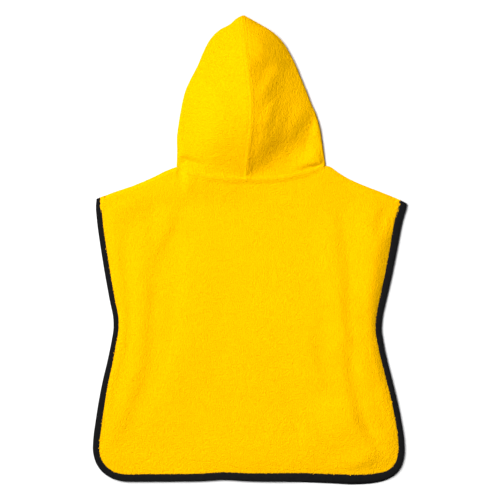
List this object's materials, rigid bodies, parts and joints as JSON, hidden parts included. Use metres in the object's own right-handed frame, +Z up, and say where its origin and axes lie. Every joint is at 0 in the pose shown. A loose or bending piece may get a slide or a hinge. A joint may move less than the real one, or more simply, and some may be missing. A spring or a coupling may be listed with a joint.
{
  "type": "hooded bath poncho",
  "caption": "Toddler's hooded terry bath poncho with dark bias binding round its sides and hem, laid flat on its front.",
  "frame": {"origin": "on the ground below the middle of the outline", "axes": "+Y to the tip of the hood, +Z up out of the back of the poncho, +X across it"},
  "size_m": [0.6038, 0.9048, 0.0553],
  "materials": {
    "terry": "matte looped terry pile",
    "binding": "matte woven cotton bias tape"
  },
  "bodies": {
    "root": {"back_panel": "terry", "front_panel": "terry", "hood_left": "terry", "hood_right": "terry", "binding_back": "binding", "binding_front": "binding"}
  },
  "joints": []
}
